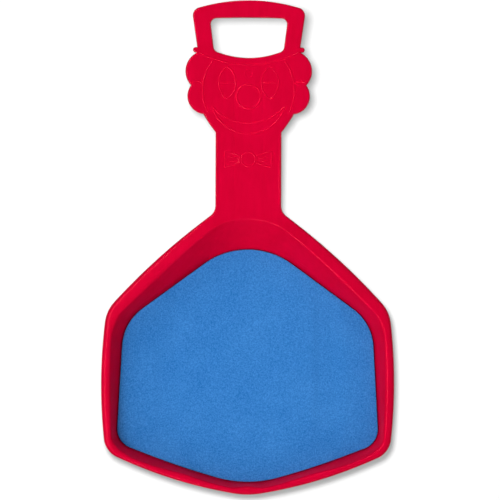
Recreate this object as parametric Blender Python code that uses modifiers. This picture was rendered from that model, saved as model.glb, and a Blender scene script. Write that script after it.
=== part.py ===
"""Child's snow slider: a moulded pan with a short stem and a hat-shaped grip.

One thin-walled plastic moulding carries a die-cut foam seat pad on a film of
adhesive. Seen from above, X runs across the slider and +Y points to the grip.
The slider rests on the soles of its two runners at Z = 0. All sizes are metres.
"""
import math
from collections import namedtuple

import bpy
from mathutils import Vector
from mathutils.geometry import delaunay_2d_cdt

# Moulding
WALL = 0.0022
CREST_HEIGHT = 0.0440
FLANGE_SLOPE = math.radians(12)
CREST_RADIUS = 0.0036
FOOT_RADIUS = 0.0030

# Lip that hangs from the outline and from the opening
LIP_DEPTH = 0.0090
LIP_DRAFT = 0.0005
EDGE_RADIUS = 0.0024

# Pan outline: corners, how far the edges bulge between them, and fillets
THROAT_Y = 0.0405
SHOULDER_X = 0.1609
SHOULDER_Y = -0.0720
REAR_X = 0.1616
REAR_Y = -0.2323
TAIL_Y = -0.2819
SHOULDER_BULGE = 0.0070
SIDE_BULGE = 0.0080
REAR_BULGE = 0.0101
THROAT_RADIUS = 0.0150
SHOULDER_RADIUS = 0.0420
REAR_RADIUS = 0.0260
TAIL_RADIUS = 0.0980

# Flange width from the outline to the crest of the rim
FLANGE_SHOULDER = 0.0125
FLANGE_SIDE = 0.0066
FLANGE_REAR = 0.0048
CREST_FRONT_RADIUS = 0.0710
CREST_SHOULDER_RADIUS = 0.0360
CREST_REAR_RADIUS = 0.0200

# Floor of the pan, measured in from the corners of the pan outline
FLOOR_FRONT_Y = 0.0188
FLOOR_IN_SHOULDER_X = 0.0188
FLOOR_IN_SHOULDER_Y = 0.0127
FLOOR_IN_REAR_X = 0.0117
FLOOR_IN_REAR_Y = 0.0101
FLOOR_IN_TAIL_Y = 0.0098
FLOOR_REAR_BULGE = 0.0035
FLOOR_FRONT_SHARE = 0.58
FLOOR_FRONT_RADIUS = 0.0850
FLOOR_SHOULDER_RADIUS = 0.0570
FLOOR_REAR_RADIUS = 0.0240
FLOOR_TAIL_RADIUS = 0.1300

# Runners: channels pressed down through the floor
RUNNER_X = 0.0900
RUNNER_WIDTH = 0.0400
RUNNER_DEPTH = 0.0040
RUNNER_FLANK = 0.0075
RUNNER_END_GAP = 0.0060
RUNNER_END_RADIUS = 0.0080

# Stem, which bends up from the pan
STEM_WIDTH = 0.0748
BEND_START_Y = 0.0420
BEND_RADIUS = 0.1200
STEM_SLOPE = math.radians(8.5)

# Head: the chin narrows to the stem, with two curls of hair on each side
CHIN_TOP_WIDTH = 0.1024
CHIN_TOP_Y = 0.1506
CHIN_Y = 0.1305
CHIN_BULGE = 0.0008
UPPER_CURL_X = 0.0483
UPPER_CURL_Y = 0.1998
UPPER_CURL_RADIUS = 0.0235
LOWER_CURL_X = 0.0488
LOWER_CURL_Y = 0.1716
LOWER_CURL_RADIUS = 0.0207

# Hat with its brim
HAT_TOP_WIDTH = 0.1294
HAT_TOP_CORNER_Y = 0.2696
HAT_TOP_BULGE = 0.0172
HAT_BASE_Y = 0.2150
HAT_BASE_WIDTH = 0.1135
HAT_RADIUS = 0.0095
BRIM_RISE = 0.0088
BRIM_WIDTH = 0.1268
BRIM_THICKNESS = 0.0062

# Finger opening: the bar and the posts of the hat that are left round it
GRIP_BAR = 0.0104
GRIP_POST_TOP = 0.0208
GRIP_POST_BASE = 0.0175
OPENING_TOP_BULGE = 0.0012
OPENING_BASE_RISE = 0.0078
OPENING_BASE_BULGE = 0.0135
OPENING_RADIUS = 0.0066

# Ribs under the stem and in the grip bar
RIB_THICKNESS = 0.0016
RIB_SETBACK = 0.0012
RIB_BITE = 0.0006
STEM_RIB_SPACING = 0.0330
STEM_RIB_AFTER_BEND = 0.0240
STEM_RIB_END_GAP = 0.0129
GRIP_RIB_PITCH = 0.0180
GRIP_RIB_COUNT = 4

# Seat pad and the adhesive film under it
PAD_THICKNESS = 0.0060
PAD_MARGIN = 0.0008
PAD_DIP = 0.0014
PAD_DIP_FLOOR_WIDTH = 0.0120
ADHESIVE_THICKNESS = 0.0003
SEAT_GAP = 0.0003

# Facets: segments in a fillet, along a bulge and round the lip, rim and dips
FILLET_STEPS = 5
FRONT_STEPS = 8
BULGE_STEPS = 3
CURL_STEPS = 36
EDGE_STEPS = 2
RIM_STEPS = 3
BEND_STEPS = 4
STEM_STEPS = 6
DIP_STEPS = 4

# A bulge's arc covers this share of the edge that the fillets leave
BULGE_REACH = 0.9

# Fillets take up to this share of a narrow run, and nearer points are one
FILLET_SHARE = 0.9
NEAREST = 0.0005

# The floor stands on the runners' soles, and the pad on the floor
FLOOR_HEIGHT = RUNNER_DEPTH + WALL

Corner = namedtuple("Corner", "x y radius reach steps")


def corner(x, y, radius=0.0, steps=FILLET_STEPS):
    """A corner of an outline with its fillet radius."""
    return Corner(x, y, radius, None, steps)


def bulge(start, end, height, share=0.5):
    """The corner between two others that turns a straight edge into a wide arc."""
    along = Vector((end.x - start.x, end.y - start.y))
    outward = Vector((-along.y, along.x)).normalized()
    place = Vector((start.x, start.y)) + along * share + outward * height
    return Corner(place.x, place.y, 0.0, BULGE_REACH, BULGE_STEPS)


def mirrored(half):
    """The closed outline whose right half runs from the top to the bottom.

    A first or last corner on the centre line is shared by both halves.
    """
    left = [c._replace(x=-c.x) for c in reversed(half) if abs(c.x) > 1e-9]
    return half + left


def tangent_lengths(corners):
    """How far each corner's arc reaches along its two edges.

    A fillet takes what its radius needs, and a bulge a share of what is left.
    """
    places = [Vector((c.x, c.y)) for c in corners]
    count = len(corners)
    edges = [(places[(i + 1) % count] - places[i]).length for i in range(count)]
    lengths = []
    for i, here in enumerate(corners):
        back = places[i - 1] - places[i]
        ahead = places[(i + 1) % count] - places[i]
        wanted = here.radius * math.tan((math.pi - back.angle(ahead)) / 2)
        room_back = edges[i - 1] * (1 / 2 if corners[i - 1].reach is None else BULGE_REACH)
        room_ahead = edges[i] * (1 / 2 if corners[(i + 1) % count].reach is None else BULGE_REACH)
        lengths.append(min(wanted, room_back, room_ahead))
    for i, here in enumerate(corners):
        if here.reach is not None:
            left_back = edges[i - 1] - lengths[i - 1]
            left_ahead = edges[i] - lengths[(i + 1) % count]
            lengths[i] = here.reach * min(left_back, left_ahead)
    return lengths


def rounded(corners):
    """Points of a closed outline, each corner turned into an arc."""
    points = []
    for index, (here, tangent) in enumerate(zip(corners, tangent_lengths(corners))):
        before = corners[index - 1]
        after = corners[(index + 1) % len(corners)]
        place = Vector((here.x, here.y))
        if tangent < 1e-6:
            points.append(place)
            continue
        back = Vector((before.x, before.y)) - place
        ahead = Vector((after.x, after.y)) - place
        start = place + back.normalized() * tangent
        end = place + ahead.normalized() * tangent
        turn = math.pi - back.angle(ahead)
        for step in range(here.steps + 1):
            share = step / here.steps
            if turn < 1e-3:
                points.append(start.lerp(end, share))
                continue
            radius = tangent / math.tan(turn / 2)
            inward = (start + end - 2 * place).normalized()
            centre = place + inward * radius / math.cos(turn / 2)
            weight = math.sin(turn * (1 - share)) / math.sin(turn)
            spread = math.sin(turn * share) / math.sin(turn)
            points.append(centre + (start - centre) * weight + (end - centre) * spread)
    return points


def circle(x, y, radius):
    """Points of a circle, clockwise."""
    angles = [-2 * math.pi * step / CURL_STEPS for step in range(CURL_STEPS)]
    return [Vector((x + radius * math.cos(a), y + radius * math.sin(a))) for a in angles]


def inset(points, distance):
    """The clockwise outline moved in by a distance, or out by a negative one."""
    moved = []
    for index, here in enumerate(points):
        back = (here - points[index - 1]).normalized()
        ahead = (points[(index + 1) % len(points)] - here).normalized()
        side = Vector((back.y, -back.x)) + Vector((ahead.y, -ahead.x))
        side.normalize()
        moved.append(here + side * distance / max(side.dot(Vector((ahead.y, -ahead.x))), 0.5))
    return moved


def merged_outline(shapes):
    """One clockwise outline round flat shapes that overlap."""
    points = []
    faces = []
    for shape in shapes:
        faces.append(list(range(len(points), len(points) + len(shape))))
        points.extend(reversed(shape))
    verts, _, triangles, _, _, sources = delaunay_2d_cdt(points, [], faces, 1, 1e-7)
    sides = set()
    for triangle, source in zip(triangles, sources):
        if source:
            sides.update((triangle[i - 1], triangle[i]) for i in range(3))
    following = {}
    for a, b in sorted(sides):
        if (b, a) not in sides:
            following.setdefault(a, []).append(b)
    loops = []
    while following:
        start = min(following)
        loop = []
        here = start
        while here in following:
            loop.append(here)
            ends = following[here]
            ahead = ends.pop()
            if not ends:
                del following[here]
            here = ahead
        loops.append(loop)
    outer = [Vector(verts[i]) for i in max(loops, key=len)]
    outer.reverse()
    return [p for i, p in enumerate(outer) if (p - outer[i - 1]).length > NEAREST]


def distance_to(point, loop):
    """Least distance from a point to a closed outline."""
    least = 1.0
    for index, end in enumerate(loop):
        start = loop[index - 1]
        along = end - start
        share = max(0.0, min(1.0, (point - start).dot(along) / along.length_squared))
        least = min(least, (point - start - along * share).length)
    return least


def highest_y(loop, x):
    """The highest Y at which a closed outline passes a given X."""
    heights = []
    for index, end in enumerate(loop):
        start = loop[index - 1]
        if (start.x - x) * (end.x - x) <= 0 and start.x != end.x:
            heights.append(start.y + (end.y - start.y) * (x - start.x) / (end.x - start.x))
    return max(heights)


def moved_in(start, end, distance):
    """Two points of the edge between two corners, moved in to its right."""
    along = Vector((end.x - start.x, end.y - start.y))
    side = Vector((along.y, -along.x)).normalized() * distance
    return Vector((start.x, start.y)) + side, Vector((end.x, end.y)) + side


def crossing(first, second):
    """Where two lines cross, each given by two points."""
    p, q = first[0], first[1] - first[0]
    r, s = second[0], second[1] - second[0]
    return p + q * ((r - p).cross(s) / q.cross(s))


def pan_half():
    """Corners of the pan's right half, from the throat to the tail."""
    throat = corner(STEM_WIDTH / 2, THROAT_Y, THROAT_RADIUS)
    shoulder = corner(SHOULDER_X, SHOULDER_Y, SHOULDER_RADIUS)
    rear = corner(REAR_X, REAR_Y, REAR_RADIUS)
    tail = corner(0.0, TAIL_Y, TAIL_RADIUS, FRONT_STEPS)
    return [
        throat, bulge(throat, shoulder, SHOULDER_BULGE), shoulder,
        bulge(shoulder, rear, SIDE_BULGE), rear,
        bulge(rear, tail, REAR_BULGE), tail]


def body_outline():
    """The whole moulding from above: pan, stem, chin, curls, brim and hat."""
    stem_top = corner(STEM_WIDTH / 2, CHIN_TOP_Y)
    brim_y = HAT_BASE_Y + BRIM_RISE
    pan = mirrored([stem_top, *pan_half()])
    jaw_top = corner(CHIN_TOP_WIDTH / 2, CHIN_TOP_Y)
    jaw_low = corner(STEM_WIDTH / 2, CHIN_Y)
    chin = mirrored([
        corner(CHIN_TOP_WIDTH / 2, brim_y), jaw_top,
        bulge(jaw_top, jaw_low, CHIN_BULGE), jaw_low])
    brim = mirrored([
        corner(BRIM_WIDTH / 2, brim_y + BRIM_THICKNESS / 2, BRIM_THICKNESS / 2),
        corner(BRIM_WIDTH / 2, brim_y - BRIM_THICKNESS / 2, BRIM_THICKNESS / 2)])
    hat_edge = corner(HAT_TOP_WIDTH / 2, HAT_TOP_CORNER_Y, HAT_RADIUS)
    hat_middle = Corner(0.0, HAT_TOP_CORNER_Y + HAT_TOP_BULGE, 0.0, BULGE_REACH, FRONT_STEPS)
    hat = mirrored([hat_middle, hat_edge, corner(HAT_BASE_WIDTH / 2, HAT_BASE_Y)])
    shapes = [rounded(pan), rounded(chin), rounded(brim), rounded(hat)]
    for side in (-1, 1):
        shapes.append(circle(side * UPPER_CURL_X, UPPER_CURL_Y, UPPER_CURL_RADIUS))
        shapes.append(circle(side * LOWER_CURL_X, LOWER_CURL_Y, LOWER_CURL_RADIUS))
    return merged_outline(shapes)


def opening_outline():
    """The finger opening in the hat, at the bottom of its lip."""
    top_y = HAT_TOP_CORNER_Y - GRIP_BAR
    base_y = HAT_BASE_Y + OPENING_BASE_RISE
    top = Corner(0.0, top_y + OPENING_TOP_BULGE, 0.0, BULGE_REACH, FILLET_STEPS)
    base = Corner(0.0, base_y - OPENING_BASE_BULGE, 0.0, BULGE_REACH, FRONT_STEPS)
    return rounded(mirrored([
        top,
        corner(HAT_TOP_WIDTH / 2 - GRIP_POST_TOP, top_y, OPENING_RADIUS),
        corner(HAT_BASE_WIDTH / 2 - GRIP_POST_BASE, base_y, OPENING_RADIUS),
        base]))


def crest_outline():
    """The crest of the rim, set in from the pan's outline by the flange."""
    pan = pan_half()
    flanges = [FLANGE_SHOULDER, FLANGE_SHOULDER, FLANGE_SIDE, FLANGE_SIDE,
               FLANGE_REAR, FLANGE_REAR]
    axis = (Vector((0.0, 1.0)), Vector((0.0, -1.0)))
    edges = [moved_in(a, b, flange) for a, b, flange in zip(pan, pan[1:], flanges)]
    edges = [axis, *edges, axis]
    radii = [CREST_FRONT_RADIUS, 0.0, CREST_SHOULDER_RADIUS, 0.0,
             CREST_REAR_RADIUS, 0.0, TAIL_RADIUS]
    steps = [FRONT_STEPS] + [c.steps for c in pan[1:]]
    reaches = [None] + [c.reach for c in pan[1:]]
    half = []
    for first, second, radius, reach, count in zip(edges, edges[1:], radii, reaches, steps):
        place = crossing(first, second)
        half.append(Corner(place.x, place.y, radius, reach, count))
    return rounded(mirrored(half))


def floor_corners():
    """Corners of the floor's right half, at the foot of the pan's wall."""
    front = corner(0.0, FLOOR_FRONT_Y, FLOOR_FRONT_RADIUS, FRONT_STEPS)
    shoulder = corner(SHOULDER_X - FLOOR_IN_SHOULDER_X, SHOULDER_Y - FLOOR_IN_SHOULDER_Y,
                      FLOOR_SHOULDER_RADIUS)
    rear = corner(REAR_X - FLOOR_IN_REAR_X, REAR_Y + FLOOR_IN_REAR_Y, FLOOR_REAR_RADIUS)
    tail = corner(0.0, TAIL_Y + FLOOR_IN_TAIL_Y, FLOOR_TAIL_RADIUS, FRONT_STEPS)
    return [
        front, bulge(front, shoulder, 0.0, FLOOR_FRONT_SHARE), shoulder,
        bulge(shoulder, rear, 0.0), rear,
        bulge(rear, tail, FLOOR_REAR_BULGE), tail]


def runner_outline(flank):
    """Plan of the right runner channel, drawn in from its mouth by a flank."""
    front, _, shoulder, _, rear, _, tail = floor_corners()
    back = RUNNER_END_GAP + flank
    front_edge = moved_in(front, shoulder, back)
    rear_edge = moved_in(rear, tail, back)
    inner = RUNNER_X - RUNNER_WIDTH / 2 + flank
    outer = RUNNER_X + RUNNER_WIDTH / 2 - flank
    side_in = (Vector((inner, 0.0)), Vector((inner, 1.0)))
    side_out = (Vector((outer, 0.0)), Vector((outer, 1.0)))
    places = [crossing(side_in, front_edge), crossing(side_out, front_edge),
              crossing(side_out, rear_edge), crossing(side_in, rear_edge)]
    radius = max(RUNNER_END_RADIUS - flank / 2, RUNNER_END_RADIUS / 4)
    return rounded([corner(p.x, p.y, radius) for p in places])


def lift(y):
    """Rise of the stem and head above the crest of the rim."""
    run = y - BEND_START_Y
    bend = BEND_RADIUS * math.sin(STEM_SLOPE)
    if run <= 0:
        return 0.0
    if run < bend:
        return BEND_RADIUS - math.sqrt(BEND_RADIUS ** 2 - run ** 2)
    return BEND_RADIUS * (1 - math.cos(STEM_SLOPE)) + (run - bend) * math.tan(STEM_SLOPE)


def wall_section(run, height):
    """Points of the rim's section from crest to floor, as (share of run, drop).

    The crest and the foot are fillets, tangent to the flange and the floor,
    and the wall between them leans just enough to use up the run. A narrow run
    limits the fillets.
    """
    fit = min(1.0, FILLET_SHARE * run / (CREST_RADIUS + FOOT_RADIUS))
    crest_radius = CREST_RADIUS * fit
    foot_radius = FOOT_RADIUS * fit
    fillets = crest_radius + foot_radius
    low, high = math.radians(5), math.radians(90)
    for _ in range(40):
        lean = (low + high) / 2
        straight = height - fillets * (1 - math.cos(lean))
        if fillets * math.sin(lean) + straight / math.tan(lean) > run:
            low = lean
        else:
            high = lean
    points = []
    for step in range(RIM_STEPS + 1):
        angle = lean * step / RIM_STEPS
        points.append((crest_radius * math.sin(angle) / run,
                       crest_radius * (1 - math.cos(angle))))
    for step in range(RIM_STEPS, -1, -1):
        angle = lean * step / RIM_STEPS
        points.append((1 - foot_radius * math.sin(angle) / run,
                       height - foot_radius * (1 - math.cos(angle))))
    return points


def lip_section():
    """Points of the lip's section from its bottom edge up, as (inset, drop)."""
    points = [(0.0, LIP_DEPTH)]
    for step in range(EDGE_STEPS + 1):
        angle = math.pi / 2 * (1 - step / EDGE_STEPS)
        points.append((LIP_DRAFT + EDGE_RADIUS * (1 - math.sin(angle)),
                       EDGE_RADIUS * (1 - math.cos(angle))))
    return points


def at_height(points, height):
    """Plan points lifted to one height."""
    return [Vector((p.x, p.y, height)) for p in points]


def skin(name, outer, holes=(), loops=(), points=()):
    """A mesh object through closed loops of 3D points that don't cross in plan."""
    cloud = []
    faces = []
    edges = []
    for loop in [outer, *holes]:
        faces.append(list(range(len(cloud) + len(loop) - 1, len(cloud) - 1, -1)))
        cloud.extend(loop)
    for loop in loops:
        first = len(cloud)
        edges.extend((first + i, first + (i + 1) % len(loop)) for i in range(len(loop)))
        cloud.extend(loop)
    cloud.extend(points)
    flat = [Vector((p.x, p.y)) for p in cloud]
    verts, _, triangles, origins, _, sources = delaunay_2d_cdt(flat, edges, faces, 0, 1e-7)
    mesh = bpy.data.meshes.new(name)
    places = []
    for vert, origin in zip(verts, origins):
        near = origin[0] if origin else min(
            range(len(flat)), key=lambda i: (flat[i] - vert).length_squared)
        places.append((vert.x, vert.y, cloud[near].z))
    kept = [t for t, source in zip(triangles, sources) if 0 in source and len(source) == 1]
    mesh.from_pydata(places, [], kept)
    mesh.update()
    surface = bpy.data.objects.new(name, mesh)
    parts.objects.link(surface)
    return surface


def solidify(target, thickness):
    """Give an open skin its thickness below the drawn face."""
    modifier = target.modifiers.new("wall", "SOLIDIFY")
    modifier.thickness = thickness
    modifier.offset = -1
    modifier.use_even_offset = True
    modifier.use_quality_normals = True


def finish(target, colour, roughness, name):
    """Give a part its own material and smooth its rounded faces."""
    material = bpy.data.materials.new(name)
    material.use_nodes = True
    shader = material.node_tree.nodes["Principled BSDF"]
    shader.inputs["Base Color"].default_value = (*colour, 1.0)
    shader.inputs["Roughness"].default_value = roughness
    shader.inputs["Metallic"].default_value = 0.0
    target.data.materials.append(material)
    target.data.shade_smooth()
    target.data.set_sharp_from_angle(angle=math.radians(40))


def add_rib(shell, name, size, middle):
    """Join a rib to the underside of the sloping stem or head.

    The middle is in plan, on the rib, which stands square to the deck and
    bites into it. Its size is its width, its length in plan and its depth.
    """
    width, length, depth = size
    down = WALL + (depth - RIB_BITE) / 2
    surface = Vector((middle[0], middle[1], CREST_HEIGHT + lift(middle[1])))
    normal = Vector((0.0, -math.sin(STEM_SLOPE), math.cos(STEM_SLOPE)))
    bpy.ops.mesh.primitive_cube_add(
        size=1, location=surface - normal * down, rotation=(STEM_SLOPE, 0, 0))
    rib = bpy.context.object
    rib.name = name
    rib.scale = (width, length / math.cos(STEM_SLOPE), depth + RIB_BITE)
    for holder in list(rib.users_collection):
        holder.objects.unlink(rib)
    cutters.objects.link(rib)
    rib.hide_render = True
    rib.display_type = "WIRE"
    modifier = shell.modifiers.new(name, "BOOLEAN")
    modifier.operation = "UNION"
    modifier.solver = "EXACT"
    modifier.object = rib


def add_ribs(shell, outline, opening):
    """Two long ribs under the stem and short cross ribs in the grip bar."""
    depth = LIP_DEPTH - WALL - RIB_SETBACK
    start_y = BEND_START_Y + STEM_RIB_AFTER_BEND
    end_y = min(p.y for p in opening) - STEM_RIB_END_GAP
    size = (RIB_THICKNESS, end_y - start_y, depth)
    for side in (-1, 1):
        add_rib(shell, "stem_rib", size, (side * STEM_RIB_SPACING / 2, (start_y + end_y) / 2))
    hidden = LIP_DRAFT + WALL - RIB_BITE
    for index in range(GRIP_RIB_COUNT):
        x = (index - (GRIP_RIB_COUNT - 1) / 2) * GRIP_RIB_PITCH
        low = highest_y(opening, x) + hidden
        high = highest_y(outline, x) - hidden
        add_rib(shell, "grip_rib", (RIB_THICKNESS, high - low, depth), (x, (low + high) / 2))


def deck_height(point, crest):
    """Top face between the crest and the outline: flange, stem and head."""
    fall = math.tan(FLANGE_SLOPE) * distance_to(point, crest)
    fade = max(0.0, min(1.0, (BEND_START_Y - point.y) / THROAT_RADIUS))
    return CREST_HEIGHT + lift(point.y) - fall * fade


def lip_rings(edge, direction, crest):
    """Rings of the lip at an edge of the deck, from its bottom up to the deck.

    The direction is 1 where the material lies inside the edge, -1 outside it.
    """
    section = lip_section()
    deck_inset = section[-1][0]
    tops = [deck_height(p, crest) for p in inset(edge, direction * deck_inset)]
    rings = []
    for distance, drop in section:
        places = inset(edge, direction * distance)
        rings.append([Vector((p.x, p.y, top - drop)) for p, top in zip(places, tops)])
    return rings


def rim_rings(crest, foot):
    """Rings of the pan's wall, from the crest down to the floor."""
    height = CREST_HEIGHT - FLOOR_HEIGHT
    sections = [wall_section((q - p).length, height) for p, q in zip(crest, foot)]
    rings = []
    for level in zip(*sections):
        places = [p.lerp(q, share) for p, q, (share, _) in zip(crest, foot, level)]
        rings.append([Vector((place.x, place.y, CREST_HEIGHT - drop))
                      for place, (_, drop) in zip(places, level)])
    return rings


def both_sides(ring):
    """A ring on the right and its mirror image on the left."""
    return [ring, [Vector((-p.x, p.y, p.z)) for p in reversed(ring)]]


def bend_points():
    """Points across the stem where it bends, so that the facets follow the bend."""
    bend = BEND_RADIUS * math.sin(STEM_SLOPE)
    points = []
    for step in range(BEND_STEPS + 1):
        y = BEND_START_Y + bend * step / BEND_STEPS
        for across in range(1, STEM_STEPS):
            x = (across / STEM_STEPS - 0.5) * STEM_WIDTH
            points.append(Vector((x, y, CREST_HEIGHT + lift(y))))
    return points


def build_shell():
    """The one-piece moulding: pan, rim, runners, stem, head and grip."""
    outline = body_outline()
    opening = opening_outline()
    crest = crest_outline()
    foot = rounded(mirrored(floor_corners()))
    outer, *outer_rings = lip_rings(outline, 1, crest)
    hole, *hole_rings = lip_rings(opening, -1, crest)
    mouth = at_height(runner_outline(0.0), FLOOR_HEIGHT)
    sole = at_height(runner_outline(RUNNER_FLANK), FLOOR_HEIGHT - RUNNER_DEPTH)
    loops = [*outer_rings, *hole_rings, *rim_rings(crest, foot),
             *both_sides(mouth), *both_sides(sole)]
    shell = skin("moulded_shell", outer, [hole], loops, bend_points())
    solidify(shell, WALL)
    add_ribs(shell, outline, opening)
    return shell


def build_pad_skin(name, height):
    """The pad's plan at a height, with its shallow dips over the runners."""
    foot = rounded(mirrored(floor_corners()))
    edge = at_height(inset(foot, PAD_MARGIN), height)
    narrow = (RUNNER_WIDTH - PAD_DIP_FLOOR_WIDTH) / 2
    loops = []
    for step in range(DIP_STEPS + 1):
        share = step / DIP_STEPS
        drop = PAD_DIP * (1 - math.cos(math.pi * share)) / 2
        ring = at_height(runner_outline(narrow * share), height - drop)
        loops.extend(both_sides(ring))
    return skin(name, edge, (), loops)


def clear_scene():
    """Remove every object that the script starts with."""
    for item in list(bpy.data.objects):
        bpy.data.objects.remove(item, do_unlink=True)


clear_scene()
parts = bpy.data.collections.new("snow_slider")
cutters = bpy.data.collections.new("cutters")
bpy.context.scene.collection.children.link(parts)
bpy.context.scene.collection.children.link(cutters)

moulded_shell = build_shell()
finish(moulded_shell, (0.68, 0.004, 0.028), 0.32, "red_polyethylene")

adhesive_top = FLOOR_HEIGHT + SEAT_GAP + ADHESIVE_THICKNESS
pad_adhesive = build_pad_skin("pad_adhesive", adhesive_top)
solidify(pad_adhesive, ADHESIVE_THICKNESS)
finish(pad_adhesive, (0.75, 0.72, 0.62), 0.6, "adhesive_film")

seat_pad = build_pad_skin("seat_pad", adhesive_top + SEAT_GAP + PAD_THICKNESS)
solidify(seat_pad, PAD_THICKNESS)
finish(seat_pad, (0.04, 0.21, 0.57), 0.9, "blue_foam")
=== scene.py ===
# %% [markdown]
# # A child's snow slider, seen from above
# The slider is one thin red moulding, a pan with a rolled rim, a bent stem and
# a grip shaped like a hat over a round head. A pad of blue foam is glued in the
# pan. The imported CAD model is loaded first. It is the fixed frame: every place
# below is in the same metres, X across the slider, +Y towards the grip.

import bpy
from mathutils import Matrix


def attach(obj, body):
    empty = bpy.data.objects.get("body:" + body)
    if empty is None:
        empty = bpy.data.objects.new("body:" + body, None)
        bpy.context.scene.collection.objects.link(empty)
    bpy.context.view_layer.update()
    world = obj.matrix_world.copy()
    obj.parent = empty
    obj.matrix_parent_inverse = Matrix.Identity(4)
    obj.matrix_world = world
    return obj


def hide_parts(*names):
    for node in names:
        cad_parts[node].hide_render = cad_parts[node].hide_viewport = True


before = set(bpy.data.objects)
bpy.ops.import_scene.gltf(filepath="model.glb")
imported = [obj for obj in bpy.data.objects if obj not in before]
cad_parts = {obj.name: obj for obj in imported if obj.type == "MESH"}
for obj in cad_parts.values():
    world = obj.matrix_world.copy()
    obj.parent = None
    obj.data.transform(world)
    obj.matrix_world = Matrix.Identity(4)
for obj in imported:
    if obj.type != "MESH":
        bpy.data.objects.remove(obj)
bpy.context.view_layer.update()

from collections import namedtuple
from math import asin, atan, copysign, cos, exp, pi, radians, sin, sqrt, tan

import bmesh
import bpy
import numpy as np
from mathutils import Vector
from mathutils.geometry import delaunay_2d_cdt

# %% [markdown]
# ## Camera
# The photograph looks straight down. One pixel of it is 1.1336 mm on the
# slider. A long lens from far away keeps the raised grip as large as the pan,
# as the photograph does. The camera is turned by a fifth of a degree, because
# the slider in the photograph stands that little out of line.

# %% The camera above the slider
PIXEL = 0.0011336
IMAGE_SIZE = 500
SENSOR_WIDTH = 36
CAMERA_DISTANCE = 15.0
LOOK_AT = Vector((0.0021, -0.0027, 0.044))
TURN = 0.0036

bpy.ops.object.camera_add(location=LOOK_AT + Vector((0, 0, CAMERA_DISTANCE)),
                          rotation=(0, 0, TURN))
camera = bpy.context.object
camera.data.sensor_width = SENSOR_WIDTH
camera.data.lens = SENSOR_WIDTH * CAMERA_DISTANCE / (PIXEL * IMAGE_SIZE)
camera.data.clip_end = 100
bpy.context.scene.camera = camera
bpy.context.scene.view_settings.view_transform = "Standard"
print("lens", round(camera.data.lens), "mm")

# %% [markdown]
# ## Nodes and colours
# Materials, floor and sky are all node trees. A small function adds a node and
# connects it, and one turns the hex value of a colour, as a paint program shows
# it, into the linear light that Blender uses.

# %% Helpers for node trees


def fill_in(tree, node, values=None, links=None):
    """Set and link a node's inputs. A node in a link stands for its first output."""
    for key, value in (values or {}).items():
        node.inputs[key].default_value = value
    for key, source in (links or {}).items():
        tree.links.new(getattr(source, "outputs", [source])[0], node.inputs[key])
    return node


def add_node(tree, kind, values=None, links=None, **settings):
    """Add a node of a kind with its settings, its values and its links."""
    made = tree.nodes.new("ShaderNode" + kind)
    for key, value in settings.items():
        setattr(made, key, value)
    return fill_in(tree, made, values, links)


def linear(hex_colour):
    """The linear colour of an sRGB hex value, with full alpha."""
    parts = [int(hex_colour[i:i + 2], 16) / 255 for i in (1, 3, 5)]
    return [p / 12.92 if p <= 0.04045 else ((p + 0.055) / 1.055) ** 2.4 for p in parts] + [1.0]


def new_material(name):
    """A new material, its node tree and its shader."""
    material = bpy.data.materials.new(name)
    material.use_nodes = True
    return material, material.node_tree, material.node_tree.nodes["Principled BSDF"]


print("pure red is", linear("#FF0000"))

# %% [markdown]
# ## Studio
# The photograph has a white ground with one soft shadow, tight on the lower
# right and wider towards the tail. A white floor under bright lamps would show
# every lamp's shadow and throw light up at the slider. So the floor is a dark
# mat that glows by itself and has a lamp of its own.

# %% The floor
FLOOR_SIZE = 40.0
GLOW_UNSEEN, GLOW_SEEN = 0.25, 0.40
PAINT_SEEN = 0.02

bpy.ops.mesh.primitive_plane_add(size=FLOOR_SIZE, location=(0, 0, 0))
floor = bpy.context.object
floor.name = "studio_floor"

# To the eye it is plain white paper, darkened only where the shadow falls.
floor_material, tree, _ = new_material("white studio floor")
rays = add_node(tree, "LightPath")
seen = rays.outputs["Is Camera Ray"]
for ray in ("Is Glossy Ray", "Is Transmission Ray"):
    seen = add_node(tree, "Math", links={0: seen, 1: rays.outputs[ray]}, operation="MAXIMUM")
glow = add_node(tree, "MapRange", {"To Min": GLOW_UNSEEN, "To Max": GLOW_SEEN}, {"Value": seen})
paint = add_node(tree, "MapRange", {"To Max": PAINT_SEEN}, {"Value": seen})
mat = add_node(tree, "BsdfDiffuse", links={"Color": paint})
white = add_node(tree, "Emission", links={"Strength": glow})
both = add_node(tree, "AddShader", links={0: mat, 1: white})
fill_in(tree, tree.nodes["Material Output"], links={"Surface": both})
floor.data.materials.append(floor_material)
print("floor", FLOOR_SIZE, "m wide")

# %% [markdown]
# A point lamp high on the upper left draws the shadow. It is linked to the
# floor, because on the plastic it would be a glare. Four soft lamps light the
# slider: one from the left, which leaves the left wall dark and the right one
# bright, two weak ones along it, and a tent of light all round. None of them is
# seen in the gloss, where it would lay a pale veil on the red.

# %% The lamps
SHADOW_LAMP_AT = (-0.30, 0.42, 4.2)
SHADOW_LAMP_WATTS = 22500
SHADOW_LAMP_RADIUS = 0.40
SUN_DISTANCE = 3


def add_sun(name, towards, strength, angle):
    """A soft lamp that shines from a direction, and that the gloss doesn't show."""
    towards = Vector(towards)
    bpy.ops.object.light_add(type="SUN", location=towards.normalized() * SUN_DISTANCE)
    lamp = bpy.context.object
    lamp.name = name
    lamp.rotation_euler = towards.to_track_quat("Z", "Y").to_euler()
    lamp.data.energy = strength
    lamp.data.angle = radians(angle)
    lamp.visible_glossy = False
    lamp.data.cycles.use_multiple_importance_sampling = False
    return lamp


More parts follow.
